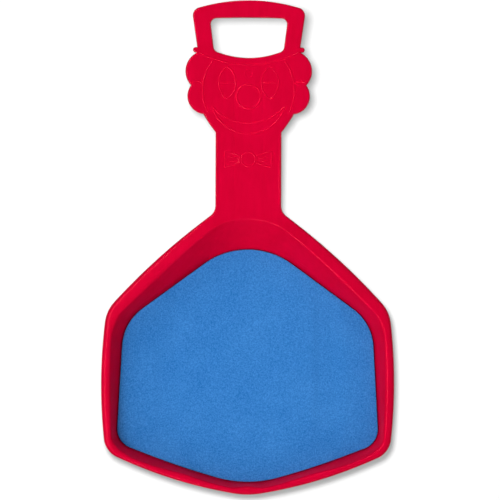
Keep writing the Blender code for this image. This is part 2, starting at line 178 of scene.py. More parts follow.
bpy.ops.object.light_add(type="POINT", location=SHADOW_LAMP_AT)
shadow_lamp = bpy.context.object
shadow_lamp.name = "shadow lamp"
shadow_lamp.data.energy = SHADOW_LAMP_WATTS
shadow_lamp.data.shadow_soft_size = SHADOW_LAMP_RADIUS
shadow_lamp.visible_camera = False
shadow_lamp.visible_glossy = False
floor_only = bpy.data.collections.new("floor only")
floor_only.objects.link(floor)
shadow_lamp.light_linking.receiver_collection = floor_only

soft_lamps = [add_sun("soft light left", (-0.36, -0.04, 0.93), 1.84, 32),
              add_sun("soft light rear", (0.0, -0.60, 0.80), 0.27, 60),
              add_sun("soft light front", (0.0, 0.60, 0.80), 0.03, 60),
              add_sun("light tent", (0.0, 0.0, 1.0), 0.52, 175)]
print("lamps:", shadow_lamp.name, [lamp.name for lamp in soft_lamps])

# %% [markdown]
# The sky is white to the camera. For the light that falls on the slider it is
# dark overhead, as behind a camera, and grey near the ground. The gloss sees
# only a strip of it, bright and low on the left, which draws the catch light on
# the rim. The strip fades towards its lower edge, so that steep faces stay red.

# %% The sky
LOW_GREY = 0.38
STRIP_STRENGTH = 38.0
BELOW_STRIP = 0.06

sky = bpy.data.worlds.new("studio sky")
bpy.context.scene.world = sky
sky.use_nodes = True
sky.cycles.sampling_method = "NONE"
tree = sky.node_tree
rays = add_node(tree, "LightPath")
direction = add_node(tree, "TexCoord")
parts = add_node(tree, "SeparateXYZ", links={0: direction.outputs["Generated"]})
low = add_node(tree, "MapRange", {"From Min": 0.87, "From Max": 0.6, "To Max": LOW_GREY},
               {"Value": parts.outputs["Z"]})
leaning = add_node(tree, "Math", links={0: parts.outputs["X"], 1: parts.outputs["Z"]},
                   operation="ADD")
shine = add_node(tree, "MapRange", {"From Min": 0.47, "From Max": 0.12, "To Max": STRIP_STRENGTH},
                 {"Value": leaning})
lower_edge = add_node(tree, "MapRange", {
    "From Min": -0.20, "From Max": 0.00, "To Min": BELOW_STRIP}, {"Value": leaning})
shine = add_node(tree, "Math", links={0: shine, 1: lower_edge}, operation="MULTIPLY")
lit = add_node(tree, "Mix", links={"Factor": rays.outputs["Is Glossy Ray"], 2: low, 3: shine})
strength = add_node(tree, "Mix", {3: 1.0}, {"Factor": rays.outputs["Is Camera Ray"], 2: lit})
fill_in(tree, tree.nodes["Background"], {"Color": (1, 1, 1, 1)}, {"Strength": strength})
print("sky:", len(tree.nodes), "nodes")

# %% [markdown]
# ## The plan of the moulding
# A moulder's drawing gives the corners of each outline, the fillet on each and
# how far the edges bulge. The same numbers made the CAD model, and here they
# are drawn with more points, so that the gloss runs smoothly round the rim.

# %% Corners and bulges
Corner = namedtuple("Corner", "x y radius reach steps")
FILLET_STEPS = 12
FRONT_STEPS = 20
BULGE_STEPS = 14
REACH = 0.9


def corner(x, y, radius=0.0, steps=FILLET_STEPS):
    """A corner of an outline with its fillet."""
    return Corner(x, y, radius, None, steps)


def bulge(start, end, height, share=0.5):
    """The point that turns the straight edge between two corners into a wide arc."""
    along = Vector((end.x - start.x, end.y - start.y))
    outward = Vector((-along.y, along.x)).normalized()
    place = Vector((start.x, start.y)) + along * share + outward * height
    return Corner(place.x, place.y, 0.0, REACH, BULGE_STEPS)


def mirrored(half):
    """The closed outline whose right half runs from the top to the bottom."""
    return half + [c._replace(x=-c.x) for c in reversed(half) if abs(c.x) > 1e-9]


print("a corner has", Corner._fields)

# %% Outlines from corners


def tangent_lengths(corners):
    """How far each arc reaches along its two edges: fillets first, bulges after."""
    places = [Vector((c.x, c.y)) for c in corners]
    count = len(corners)
    edges = [(places[(i + 1) % count] - places[i]).length for i in range(count)]
    lengths = []
    for i, here in enumerate(corners):
        turn = pi - (places[i - 1] - places[i]).angle(places[(i + 1) % count] - places[i])
        back = edges[i - 1] * (1 / 2 if corners[i - 1].reach is None else REACH)
        ahead = edges[i] * (1 / 2 if corners[(i + 1) % count].reach is None else REACH)
        lengths.append(min(here.radius * tan(turn / 2), back, ahead))
    for i, here in enumerate(corners):
        if here.reach is not None:
            left = min(edges[i - 1] - lengths[i - 1], edges[i] - lengths[(i + 1) % count])
            lengths[i] = here.reach * left
    return lengths


def rounded(corners):
    """Points of a closed outline, each corner turned into an arc."""
    points = []
    for index, (here, tangent) in enumerate(zip(corners, tangent_lengths(corners))):
        place = Vector((here.x, here.y))
        if tangent < 1e-6:
            points.append(place)
            continue
        back = Vector(corners[index - 1][:2]) - place
        ahead = Vector(corners[(index + 1) % len(corners)][:2]) - place
        start = place + back.normalized() * tangent
        end = place + ahead.normalized() * tangent
        turn = pi - back.angle(ahead)
        inward = (start + end - 2 * place).normalized()
        centre = place + inward * tangent / tan(turn / 2) / cos(turn / 2)
        for step in range(here.steps + 1):
            share = step / here.steps
            points.append(centre + (start - centre) * sin(turn * (1 - share)) / sin(turn)
                          + (end - centre) * sin(turn * share) / sin(turn))
    return points


def sides(points):
    """At each point of a clockwise outline, the step that moves its edges in by one."""
    steps = []
    for index, here in enumerate(points):
        back = (here - points[index - 1]).normalized()
        ahead = (points[(index + 1) % len(points)] - here).normalized()
        normal = Vector((ahead.y, -ahead.x))
        side = (Vector((back.y, -back.x)) + normal).normalized()
        steps.append(side / max(side.dot(normal), 0.5))
    return steps


def inset(points, distance):
    """The clockwise outline moved in, or out by a negative distance."""
    return [p + side * distance for p, side in zip(points, sides(points))]


square = rounded([corner(x, y, 0.5) for x, y in ((-1, 1), (1, 1), (1, -1), (-1, -1))])
print("a rounded square has", len(square), "points")

# %% [markdown]
# The head's silhouette is a union: a chin, four curls of hair, a brim and a
# hat laid over each other. Overlapping flat shapes are merged by triangulating
# them together and walking round the outermost edge.

# %% Circles and merged shapes
CIRCLE_STEPS = 96
NEAREST = 0.0003


def circle(x, y, radius):
    """Points of a circle, clockwise."""
    angles = [-2 * pi * step / CIRCLE_STEPS for step in range(CIRCLE_STEPS)]
    return [Vector((x + radius * cos(a), y + radius * sin(a))) for a in angles]


def merged_outline(shapes):
    """One clockwise outline round flat shapes that overlap."""
    points, faces = [], []
    for shape in shapes:
        faces.append(list(range(len(points), len(points) + len(shape))))
        points.extend(reversed(shape))
    verts, _, triangles, _, _, sources = delaunay_2d_cdt(points, [], faces, 1, 1e-7)
    edges = set()
    for triangle, source in zip(triangles, sources):
        if source:
            edges.update((triangle[i - 1], triangle[i]) for i in range(3))
    following = {}
    for a, b in sorted(edges):
        if (b, a) not in edges:
            following.setdefault(a, []).append(b)
    loops = []
    while following:
        here, loop = min(following), []
        while here in following:
            loop.append(here)
            ends = following[here]
            ahead = ends.pop()
            if not ends:
                del following[here]
            here = ahead
        loops.append(loop)
    outer = [Vector(verts[i]) for i in max(loops, key=len)]
    outer.reverse()
    return [p for i, p in enumerate(outer) if (p - outer[i - 1]).length > NEAREST]


print("two merged circles have", len(merged_outline([circle(0, 0, 1), circle(1, 0, 1)])), "points")

# %% The outline from above
STEM_WIDTH = 0.0748
THROAT_RADIUS = 0.0150
JAW_X, JAW_Y = 0.0512, 0.1506
BRIM_Y = 0.2238
BRIM_HALF_WIDTH, BRIM_HALF_HEIGHT = 0.0634, 0.0031
CURLS = ((0.0483, 0.1998, 0.0235), (0.0488, 0.1716, 0.0207))


def pan_half():
    """Corners of the pan's right half, from the throat to the tail."""
    throat = corner(STEM_WIDTH / 2, 0.0405, THROAT_RADIUS)
    shoulder = corner(0.1609, -0.0720, 0.0420)
    rear = corner(0.1616, -0.2323, 0.0260)
    tail = corner(0.0, -0.2819, 0.0980, FRONT_STEPS)
    return [throat, bulge(throat, shoulder, 0.0070), shoulder, bulge(shoulder, rear, 0.0080),
            rear, bulge(rear, tail, 0.0101), tail]


def body_outline():
    """Pan and stem, chin, curls, brim and hat, merged."""
    brim = mirrored([corner(BRIM_HALF_WIDTH, BRIM_Y + BRIM_HALF_HEIGHT, BRIM_HALF_HEIGHT),
                     corner(BRIM_HALF_WIDTH, BRIM_Y - BRIM_HALF_HEIGHT, BRIM_HALF_HEIGHT)])
    hat = mirrored([Corner(0.0, 0.2868, 0.0, REACH, FRONT_STEPS),
                    corner(0.0647, 0.2696, 0.0095), corner(0.05675, 0.2150)])
    jaw_top, jaw_low = corner(JAW_X, JAW_Y), corner(STEM_WIDTH / 2, 0.1305)
    chin = mirrored([corner(JAW_X, BRIM_Y), jaw_top, bulge(jaw_top, jaw_low, 0.0008), jaw_low])
    pan = mirrored([corner(STEM_WIDTH / 2, JAW_Y), *pan_half()])
    curls = [circle(side * x, y, radius) for side in (-1, 1) for x, y, radius in CURLS]
    return merged_outline([rounded(pan), rounded(chin), rounded(brim), rounded(hat), *curls])


def opening_outline():
    """The finger opening in the hat."""
    return rounded(mirrored([
        Corner(0.0, 0.2604, 0.0, REACH, FILLET_STEPS), corner(0.0439, 0.2592, 0.0066),
        corner(0.03925, 0.2228, 0.0066), Corner(0.0, 0.2093, 0.0, REACH, FRONT_STEPS)]))


outline = body_outline()
opening = opening_outline()
print("outline", len(outline), "points, opening", len(opening))

# %% [markdown]
# The pan needs two more lines with as many points each: the crest of the rim
# and the foot of the wall. Each point of one then has its partner on the other,
# and the wall is a clean strip of long faces between them.

# %% Crest, foot and runners
FLANGES = (0.0125, 0.0125, 0.0066, 0.0066, 0.0048, 0.0048)
CREST_FILLETS = (0.0710, 0.0, 0.0360, 0.0, 0.0200, 0.0, 0.0980)
RUNNER_X = 0.0900
RUNNER_WIDTH = 0.0400
RUNNER_FROM_WALL = 0.0060
RUNNER_FILLET, SOLE_FILLET = 0.0080, 0.0020


def moved_in(start, end, distance):
    """Two points of the edge between two corners, moved in."""
    along = Vector((end.x - start.x, end.y - start.y))
    side = Vector((along.y, -along.x)).normalized() * distance
    return Vector(start[:2]) + side, Vector(end[:2]) + side


def crossing(first, second):
    """Where two lines cross, each given by two points."""
    p, q = first[0], first[1] - first[0]
    r, s = second[0], second[1] - second[0]
    return p + q * ((r - p).cross(s) / q.cross(s))


def crest_outline():
    """The top of the rim, set in from the pan's outline by the flange."""
    pan = pan_half()
    axis = (Vector((0.0, 1.0)), Vector((0.0, -1.0)))
    edges = [axis, *[moved_in(a, b, f) for a, b, f in zip(pan, pan[1:], FLANGES)], axis]
    half = []
    for first, second, radius, like in zip(edges, edges[1:], CREST_FILLETS, pan):
        place = crossing(first, second)
        steps = FRONT_STEPS if like is pan[0] else like.steps
        half.append(Corner(place.x, place.y, radius, like.reach, steps))
    return rounded(mirrored(half))


def foot_corners():
    """Corners of the floor's right half, where the wall ends."""
    front = corner(0.0, 0.0188, 0.0850, FRONT_STEPS)
    shoulder = corner(0.1421, -0.0847, 0.0570)
    rear = corner(0.1499, -0.2222, 0.0240)
    tail = corner(0.0, -0.2721, 0.1300, FRONT_STEPS)
    return [front, bulge(front, shoulder, 0.0, 0.58), shoulder, bulge(shoulder, rear, 0.0),
            rear, bulge(rear, tail, 0.0035), tail]


def runner_outline(flank):
    """The right runner channel, drawn in from its mouth by a flank."""
    front, _, shoulder, _, rear, _, tail = foot_corners()
    front_edge = moved_in(front, shoulder, RUNNER_FROM_WALL + flank)
    rear_edge = moved_in(rear, tail, RUNNER_FROM_WALL + flank)
    lines = [RUNNER_X - RUNNER_WIDTH / 2 + flank, RUNNER_X + RUNNER_WIDTH / 2 - flank]
    inner, outer = [(Vector((x, 0.0)), Vector((x, 1.0))) for x in lines]
    places = [crossing(inner, front_edge), crossing(outer, front_edge),
              crossing(outer, rear_edge), crossing(inner, rear_edge)]
    radius = max(RUNNER_FILLET - flank / 2, SOLE_FILLET)
    return rounded([corner(p.x, p.y, radius) for p in places])


crest = crest_outline()
foot = rounded(mirrored(foot_corners()))
print("crest", len(crest), "points, foot", len(foot))

# %% [markdown]
# ## Heights
# The rim's flange falls outwards, the stem bends up and runs on at a slope, and
# the wall goes down from a round crest to the shallow seat that holds the pad.
# These functions give the height of the moulding at any place in the plan.

# %% Heights
CREST_HEIGHT = 0.0440
FLANGE_SLOPE = radians(12)
BEND_START_Y = 0.0420
BEND_RADIUS = 0.1200
STEM_SLOPE = radians(8.5)


def lift(y):
    """Rise of the stem and head above the crest of the rim."""
    run = y - BEND_START_Y
    bend = BEND_RADIUS * sin(STEM_SLOPE)
    if run <= 0:
        return 0.0
    if run < bend:
        return BEND_RADIUS - sqrt(BEND_RADIUS ** 2 - run ** 2)
    return BEND_RADIUS * (1 - cos(STEM_SLOPE)) + (run - bend) * tan(STEM_SLOPE)


def nearest_on(loop, points):
    """For each point the nearest edge of a loop, how far along it, and how far off."""
    start = np.array([(p.x, p.y) for p in loop])
    along = np.roll(start, -1, axis=0) - start
    gap = np.array([(p.x, p.y) for p in points])[:, None] - start[None]
    share = np.clip((gap * along).sum(2) / np.maximum((along ** 2).sum(1), 1e-18), 0, 1)
    off = np.linalg.norm(gap - share[..., None] * along, axis=2)
    row = np.arange(len(points))
    edge = off.argmin(1)
    return edge, share[row, edge], off[row, edge]


def covered(distance, run):
    """The share of a run that a distance covers, from 0 to 1."""
    return max(0.0, min(1.0, distance / run))


def flange_fade(y):
    """1 on the pan's flange, 0 on the level stem."""
    return covered(BEND_START_Y - y, THROAT_RADIUS)


def deck_heights(points):
    """Top of the flange, stem and head at each point."""
    _, _, off = nearest_on(crest, points)
    fall = tan(FLANGE_SLOPE)
    return [CREST_HEIGHT + lift(p.y) - fall * flange_fade(p.y) * d for p, d in zip(points, off)]


print("the hat's top edge is", round(1000 * deck_heights([Vector((0, 0.28))])[0], 1), "mm up")

# %% [markdown]
# The shell's free edge turns down in a lip. The rounding above the lip is tight
# round the head and wide and soft on the pan, where it catches a broad light.
# The crest of the rim is a roll, and the wall runs straight from it to the seat,
# with one small step that holds the pad. All of these are drawn as rings, one
# line of points below the other, to which the deck's edges are extruded later.

# %% The rings of the lip
LIP_DEPTH = 0.0090
LIP_DRAFT = 0.0005
EDGE_STEPS = 8
EDGE_RADIUS = 0.0018
PAN_WIDER, PAN_DEEPER = 0.0026, 0.0018
PAN_EDGE_Y, PAN_EDGE_RUN = 0.030, 0.040
REAR_NARROWER = 0.0014
REAR_EDGE_Y, REAR_EDGE_RUN = -0.200, 0.030


def edge_size(y):
    """Width and drop of the rounded edge: tight round the head, wide and soft on the pan."""
    pan = covered(PAN_EDGE_Y - y, PAN_EDGE_RUN)
    rear = covered(REAR_EDGE_Y - y, REAR_EDGE_RUN)
    return EDGE_RADIUS + PAN_WIDER * pan - REAR_NARROWER * rear, EDGE_RADIUS + PAN_DEEPER * pan


def lip_rings(edge, direction):
    """Rings from the deck over the rounded edge down to the lip's bottom.

    The direction is 1 where the material lies inside the edge, -1 outside it.
    """
    sizes = [edge_size(p.y) for p in edge]
    across = sides(edge)
    rings = []
    for step in range(EDGE_STEPS + 1):
        angle = pi / 2 * step / EDGE_STEPS
        places = [p + side * direction * (LIP_DRAFT + width * (1 - sin(angle)))
                  for p, side, (width, _) in zip(edge, across, sizes)]
        heights = deck_heights(places)
        rings.append([Vector((p.x, p.y, z - drop * (1 - cos(angle))))
                      for p, z, (_, drop) in zip(places, heights, sizes)])
    rings.append([Vector((p.x, p.y, top.z - LIP_DEPTH)) for p, top in zip(edge, rings[0])])
    return rings


edge_rings = lip_rings(outline, 1)
opening_rings = lip_rings(opening, -1)
print("rings round the lip:", len(edge_rings))

# %% The rings of the rim
WALL = 0.0022
RUNNER_DEPTH = 0.0040
FLOOR_HEIGHT = RUNNER_DEPTH + WALL
SEAT_HEIGHT = 0.0108
SEAT_DRAFT = 0.0004
CREST_RADIUS = 0.0048
CREST_SHARE = 0.6
ROLL_STEPS = 4
RIM_STEPS = 6
WALL_STEPS = 3


def wall_lean(run, height, fillet):
    """The steepness that makes a wall with its upper fillet use up its run."""
    low, high = radians(5), radians(90)
    for _ in range(40):
        lean = (low + high) / 2
        straight = height - fillet * (1 - cos(lean))
        if fillet * sin(lean) + straight / tan(lean) > run:
            low = lean
        else:
            high = lean
    return lean


def roll(radius, top, angles):
    """Points of a round crest, outwards of its top at angles above zero."""
    return [(radius * sin(a), top - radius * (1 - cos(a))) for a in angles]


def rim_sections():
    """At each point of the crest, the rim's section as (outward, height) pairs."""
    sections = []
    for p, q in zip(crest, foot):
        run = (q - p).length
        crest_radius = min(CREST_RADIUS, CREST_SHARE * run)
        slope = atan(tan(FLANGE_SLOPE) * flange_fade(p.y))
        top = CREST_HEIGHT - CREST_RADIUS * (1 / cos(slope) - 1)
        lean = wall_lean(run, top - SEAT_HEIGHT, crest_radius)
        outwards = [slope * (1 - step / ROLL_STEPS) for step in range(ROLL_STEPS)]
        inwards = [-lean * step / RIM_STEPS for step in range(RIM_STEPS + 1)]
        section = roll(CREST_RADIUS, top, outwards) + roll(crest_radius, top, inwards)
        out, up = section[-1]
        for step in range(1, WALL_STEPS + 1):
            share = step / WALL_STEPS
            section.append((out + (-run - out) * share, up + (SEAT_HEIGHT - up) * share))
        section.append((-run - SEAT_DRAFT, FLOOR_HEIGHT))
        sections.append(section)
    return sections


def rim_rings():
    """Rings from the flange over the crest down the wall to the floor."""
    outwards = [-side for side in sides(crest)]
    rings = []
    for level in zip(*rim_sections()):
        ring = []
        for p, q, outward, (away, height) in zip(crest, foot, outwards, level):
            place = p + outward * away if away > 0 else p.lerp(q, -away / (q - p).length)
            ring.append(Vector((place.x, place.y, height)))
        rings.append(ring)
    return rings


wall_rings = rim_rings()
print("rings down the rim:", len(wall_rings))

# %% [markdown]
# ## Modelling the shell
# The shell grows as it would by hand. Three circles are laid on the drawn
# lines and filled, which gives the flat deck. The deck is cut into rows, lifted
# to its heights, and its free edges are extruded ring by ring: outwards for the
# lip, inwards for the pan. The floor is filled, the runners are pressed down
# in it, and a Solidify modifier gives the wall its even thickness.

# %% Helpers for edit mode


def only(*targets):
    """Leave edit mode, and select these objects alone."""
    if bpy.context.object and bpy.context.object.mode != "OBJECT":
        bpy.ops.object.mode_set(mode="OBJECT")
    bpy.ops.object.select_all(action="DESELECT")
    for target in targets:
        target.select_set(True)
    bpy.context.view_layer.objects.active = targets[0] if targets else None


def edit(target):
    """Enter edit mode on one object with nothing selected, and give its mesh."""
    only(target)
    bpy.ops.object.mode_set(mode="EDIT")
    bpy.ops.mesh.select_all(action="DESELECT")
    return bmesh.from_edit_mesh(target.data)


def add_loop(name, points):
    """A primitive circle whose points are moved on to a closed line."""
    only()
    bpy.ops.mesh.primitive_circle_add(vertices=len(points), radius=0.1)
    loop = bpy.context.object
    loop.name = name
    for vertex, point in zip(loop.data.vertices, points):
        vertex.co = point.to_3d()
    return loop


def joined(*targets):
    """Join objects into the first one."""
    only(*targets)
    bpy.ops.object.join()
    return targets[0]


only()

# %% Filling a sheet


def fill_sheet(target, cuts, heights):
    """Fill closed lines with a flat sheet, cut it across and lift it to its heights."""
    edit(target)
    bpy.ops.mesh.select_all(action="SELECT")
    bpy.ops.mesh.fill(use_beauty=True)
    for direction, places in cuts:
        for place in places:
            bpy.ops.mesh.select_all(action="SELECT")
            bpy.ops.mesh.bisect(plane_co=[place * n for n in direction], plane_no=direction)
    mesh = bmesh.from_edit_mesh(target.data)
    for v, z in zip(mesh.verts, heights([v.co.copy() for v in mesh.verts])):
        v.co.z = z
    bmesh.update_edit_mesh(target.data)
    return len(mesh.faces)


# %% Growing a free edge
TOUCHING = 2e-6


def grow(target, rings):
    """Extrude the free edge that lies on the first ring to each ring after it."""
    mesh = edit(target)
    free = [v for v in mesh.verts if v.is_boundary]
    edge, share, off = nearest_on(rings[0], [v.co for v in free])
    partner = {v.index: (int(e), float(s))
               for v, e, s, d in zip(free, edge, share, off) if d < TOUCHING}
    for e in mesh.edges:
        e.select = e.is_boundary and all(v.index in partner for v in e.verts)
    count = sum(e.select for e in mesh.edges)
    mesh.select_flush(True)
    for ring in rings[1:]:
        bpy.ops.mesh.extrude_edges_move()
        mesh = bmesh.from_edit_mesh(target.data)
        mesh.verts.index_update()
        moved = {}
        for v in mesh.verts:
            if v.select:
                before = [e.other_vert(v) for e in v.link_edges]
                old = next(o for o in before if not o.select and o.index in partner)
                moved[v.index] = partner[old.index]
        mesh.verts.ensure_lookup_table()
        for index, (e, s) in moved.items():
            mesh.verts[index].co = ring[e].lerp(ring[(e + 1) % len(ring)], s)
        partner = moved
    bmesh.update_edit_mesh(target.data)
    return count


print("points within", TOUCHING, "m of each other count as touching")

# %% [markdown]
# The deck needs points wherever it bends, so it gets close rows of cuts across
# the stem's bend and wider ones in the throat, where the flange turns level.

# %% The deck: three loops, filled and cut into rows
BEND_ROW = 0.0015
THROAT_ROW = 0.004
THROAT_ROWS = 7
COLUMNS = 14
COLUMN_SHIFT = 0.0007
bend_rows = int(BEND_RADIUS * sin(STEM_SLOPE) / BEND_ROW) + 2

shell = joined(add_loop("slider_shell", [p.xy for p in edge_rings[0]]),
               add_loop("opening_line", [p.xy for p in opening_rings[0]]),
               add_loop("crest_line", [p.xy for p in wall_rings[0]]))
rows = [BEND_START_Y + BEND_ROW * i for i in range(bend_rows)]
rows += [BEND_START_Y - THROAT_ROW * i for i in range(1, THROAT_ROWS + 1)]
columns = [THROAT_ROW * i + COLUMN_SHIFT for i in range(-COLUMNS, COLUMNS + 1)]
cuts = (((0, 1, 0), rows), ((1, 0, 0), columns))
print("deck faces", fill_sheet(shell, cuts, deck_heights))

# %% The lip, the rim and the wall
print("lip edges", grow(shell, edge_rings))
print("opening edges", grow(shell, opening_rings))
print("rim edges", grow(shell, wall_rings))

# %% [markdown]
# The floor is filled between the foot of the wall and the mouths of the two
# runner channels. A soft S-shaped flank takes each channel down to its sole.

# %% The floor with its runners
RUNNER_FLANK = 0.0075
FLANK_STEPS = 8


def channel_rings(side):
    """Rings from a runner's mouth in the floor down to its sole."""
    rings = []
    for step in range(FLANK_STEPS + 1):
        share = step / FLANK_STEPS
        drop = RUNNER_DEPTH * (1 - cos(pi * share)) / 2
        rings.append([Vector((side * p.x, p.y, FLOOR_HEIGHT - drop))
                      for p in runner_outline(RUNNER_FLANK * share)])
    return rings


channels = [channel_rings(side) for side in (-1, 1)]
for rings in channels:
    shell = joined(shell, add_loop("runner_mouth", rings[0]))
mesh = edit(shell)
_, _, off = nearest_on(wall_rings[-1], [v.co for v in mesh.verts])
for v, distance in zip(mesh.verts, off):
    v.select = abs(v.co.z - FLOOR_HEIGHT) < TOUCHING and (distance < TOUCHING or not v.link_faces)
for e in mesh.edges:
    e.select = all(v.select for v in e.verts) and len(e.link_faces) < 2
bmesh.update_edit_mesh(shell.data)
bpy.ops.mesh.fill(use_beauty=True)
for rings in channels:
    print("runner edges", grow(shell, rings))
    bpy.ops.mesh.fill(use_beauty=True)

# %% [markdown]
# Normals are put right before the wall gets its thickness, because on a closed
# shell the tool would turn the inner wall round. The skin is the face that the
# mould's polished half made, so the thickness goes down from it.

# %% The wall's thickness
ON_THE_STEM = Vector((0, 0.12, 0.055))

edit(shell)
bpy.ops.mesh.select_all(action="SELECT")
bpy.ops.mesh.remove_doubles(threshold=TOUCHING)
bpy.ops.mesh.normals_make_consistent(inside=False)
mesh = bmesh.from_edit_mesh(shell.data)
deck_face = min(mesh.faces, key=lambda f: (f.calc_center_median() - ON_THE_STEM).length)
if deck_face.normal.z < 0:
    bpy.ops.mesh.flip_normals()
faces_at = [len(e.link_faces) for e in mesh.edges]
print("edges without a face, free, and on three:", [faces_at.count(i) for i in (0, 1, 3)])
only(shell)
thickness = shell.modifiers.new("wall", "SOLIDIFY")
thickness.thickness = WALL
thickness.offset = -1
thickness.use_even_offset = True
thickness.use_quality_normals = True
bpy.ops.object.modifier_apply(modifier="wall")
print("shell faces", len(shell.data.polygons))

# %% [markdown]
# ## Ribs under the stem and in the grip
# Thin ribs stiffen a moulding from below. Each is a cube, drawn out to length
# and narrowed at its bottom face so that it leaves the mould. They differ in
# length, so a function makes each one, where copies would need stretching. Two
# run under the stem and four across the grip bar.

# %% The ribs
RIB_WIDTH = 0.0016
RIB_TOP = 0.0016
RIB_BOTTOM = LIP_DEPTH - 0.0012
RIB_DRAFT = 0.6
STEM_RIB_X, STEM_RIB_START, STEM_RIB_END = 0.0165, 0.0660, 0.2020
GRIP_RIB_X = (-0.027, -0.009, 0.009, 0.027)


def settle(target):
    """Lift a flat piece on to the sloping deck, each point by its place."""
    for v in target.data.vertices:
        v.co.z += CREST_HEIGHT + lift(v.co.y)


def add_rib(name, x, low, high):
    """A rib under the deck, between two places along the slider."""
    only()
    middle = (x, (low + high) / 2, -(RIB_TOP + RIB_BOTTOM) / 2)
    bpy.ops.mesh.primitive_cube_add(size=1, location=middle)
    rib = bpy.context.object
    rib.name = name
    rib.scale = (RIB_WIDTH, high - low, RIB_BOTTOM - RIB_TOP)
    bpy.ops.object.transform_apply(location=True, rotation=True, scale=True)
    mesh = edit(rib)
    for face in mesh.faces:
        face.select = face.normal.z < -0.5
    mesh.select_flush_mode()
    bpy.ops.transform.resize(value=(RIB_DRAFT, 1, 1), center_override=(x, 0, -RIB_BOTTOM))
    only(rib)
    settle(rib)
    return rib


def highest_y(loop, x):
    """The highest Y at which a closed outline passes a given X."""
    heights = []
    for end, start in zip(loop, [loop[-1], *loop]):
        if (start.x - x) * (end.x - x) <= 0 and start.x != end.x:
            heights.append(start.y + (end.y - start.y) * (x - start.x) / (end.x - start.x))
    return max(heights)


ribs = [add_rib("stem_rib", side * STEM_RIB_X, STEM_RIB_START, STEM_RIB_END) for side in (-1, 1)]
inside = LIP_DRAFT + WALL / 2
for x in GRIP_RIB_X:
    low, high = highest_y(opening, x) + inside, highest_y(outline, x) - inside
    ribs.append(add_rib("grip_rib", x, low, high))
shell = joined(shell, *ribs)
print("ribs", len(ribs))

# %% [markdown]
# ## Raised lines on the head and stem
# The mould has shallow grooves, and the plastic stands in them as soft beads: a
# brim, a round face with two long eyes and a smile, and a bow tie on the stem.
# A bump in the material would be less work, but the real ones stand up, so they
# are mesh. Each bead is a bell-shaped section swept along a line. Its toes lie
# flat on the deck, so no crease shows where it starts. The lines are a plain
# design of arcs, drawn flat and lifted on to the sloping deck when they are done.

# %% A bead swept along a line
BEAD_HALF = 0.0013
BEAD_HEIGHT = 0.00055
BEAD_SINK = 0.0003
BELL_STEPS = 12
TAPER = 0.006
THINNEST = 0.05
UNEVEN = 0.15


def bell(distance, half, height):
    """Height of a soft bead at a distance from its middle line."""
    return height * (1 + cos(pi * min(1.0, abs(distance) / half))) / 2


def add_curve(name, points, dimensions, closed):
    """A curve object with one line of points, drawn flat."""
    data = bpy.data.curves.new(name, "CURVE")
    data.dimensions = dimensions
    spline = data.splines.new("POLY")
    spline.points.add(len(points) - 1)
    for target, (x, y) in zip(spline.points, points):
        target.co = (x, y, 0, 1)
    spline.use_cyclic_u = closed
    curve = bpy.data.objects.new(name, data)
    bpy.context.scene.collection.objects.link(curve)
    return curve


def add_bead(name, points, closed=False):
    """Sweep the bead's section along a line, and fade it out at free ends."""
    bead = add_curve(name, points, "3D", closed)
    run = [0.0]
    for a, b in zip(points, points[1:]):
        run.append(run[-1] + (b - a).length)
    for target, p, place in zip(bead.data.splines[0].points, points, run):
        target.radius = 1 - UNEVEN + UNEVEN * sin(p.x * 170 + p.y * 90)
        if not closed:
            ends = min(1.0, place / TAPER, (run[-1] - place) / TAPER)
            target.radius *= max(THINNEST, sin(pi / 2 * ends))
    bead.data.twist_mode = "Z_UP"
    bead.data.bevel_mode = "OBJECT"
    bead.data.bevel_object = bead_section
    bead.data.use_fill_caps = True
    only(bead)
    bpy.ops.object.convert(target="MESH")
    return bpy.context.object


across = [BEAD_HALF * (2 * step / BELL_STEPS - 1) for step in range(BELL_STEPS + 1)]
bump = [(x, bell(x, BEAD_HALF, BEAD_HEIGHT)) for x in across]
bump += [(BEAD_HALF, -BEAD_SINK), (-BEAD_HALF, -BEAD_SINK)]
bead_section = add_curve("bead_section", bump, "2D", True)
bead_section.hide_render = True
beads = []
print("a bead is", 2000 * BEAD_HALF, "mm wide and", 1000 * BEAD_HEIGHT, "mm high")

# %% Arcs and pairs
ARC_SPACING = 0.0012
EASINGS = 3


def arc(start, end, rise):
    """Points of a circular arc between two points, which rises to the left of the way."""
    a, b = Vector(start), Vector(end)
    middle, along = (a + b) / 2, b - a
    left = Vector((-along.y, along.x)).normalized()
    radius = (along.length ** 2 / 4 + rise ** 2) / (2 * abs(rise))
    centre = middle + left * (rise - copysign(radius, rise))
    turn = 2 * asin(min(1.0, along.length / 2 / radius))
    if abs(rise) > radius:
        turn = 2 * pi - turn
    steps = max(6, round(turn * radius / ARC_SPACING))
    arm = a - centre
    points = []
    for step in range(steps + 1):
        angle = -copysign(turn, rise) * step / steps
        points.append(centre + Vector((arm.x * cos(angle) - arm.y * sin(angle),
                                       arm.x * sin(angle) + arm.y * cos(angle))))
    return points


def eased(points):
    """A closed line with its tips rounded, as each point moves towards its neighbours."""
    for _ in range(EASINGS):
        ahead = points[1:] + points[:1]
        points = [(points[i - 1] + 2 * p + ahead[i]) / 4 for i, p in enumerate(points)]
    return points


def mirror_line(points):
    """The same line on the other side of the slider."""
    return [Vector((-p.x, p.y)) for p in points]


def add_pair(name, points, closed=False):
    """The same bead on both sides of the slider."""
    for way in (points, mirror_line(points)):
        beads.append(add_bead(name, way, closed))


print("an arc over 10 mm has", len(arc((0.0, 0.0), (0.0100, 0.0), 0.0020)), "points")

# %% The brim and the face
BRIM_LOW = 0.2070
BRIM_CURVE = 4.3
BRIM_END = 0.0605
FACE = Vector((0.0, 0.1780))
FACE_HALF = Vector((0.0520, 0.0540))
FACE_FROM, FACE_TO = radians(-31), radians(41)
EAR = ((0.0515, 0.1830), (0.0660, 0.1840), 0.0050)

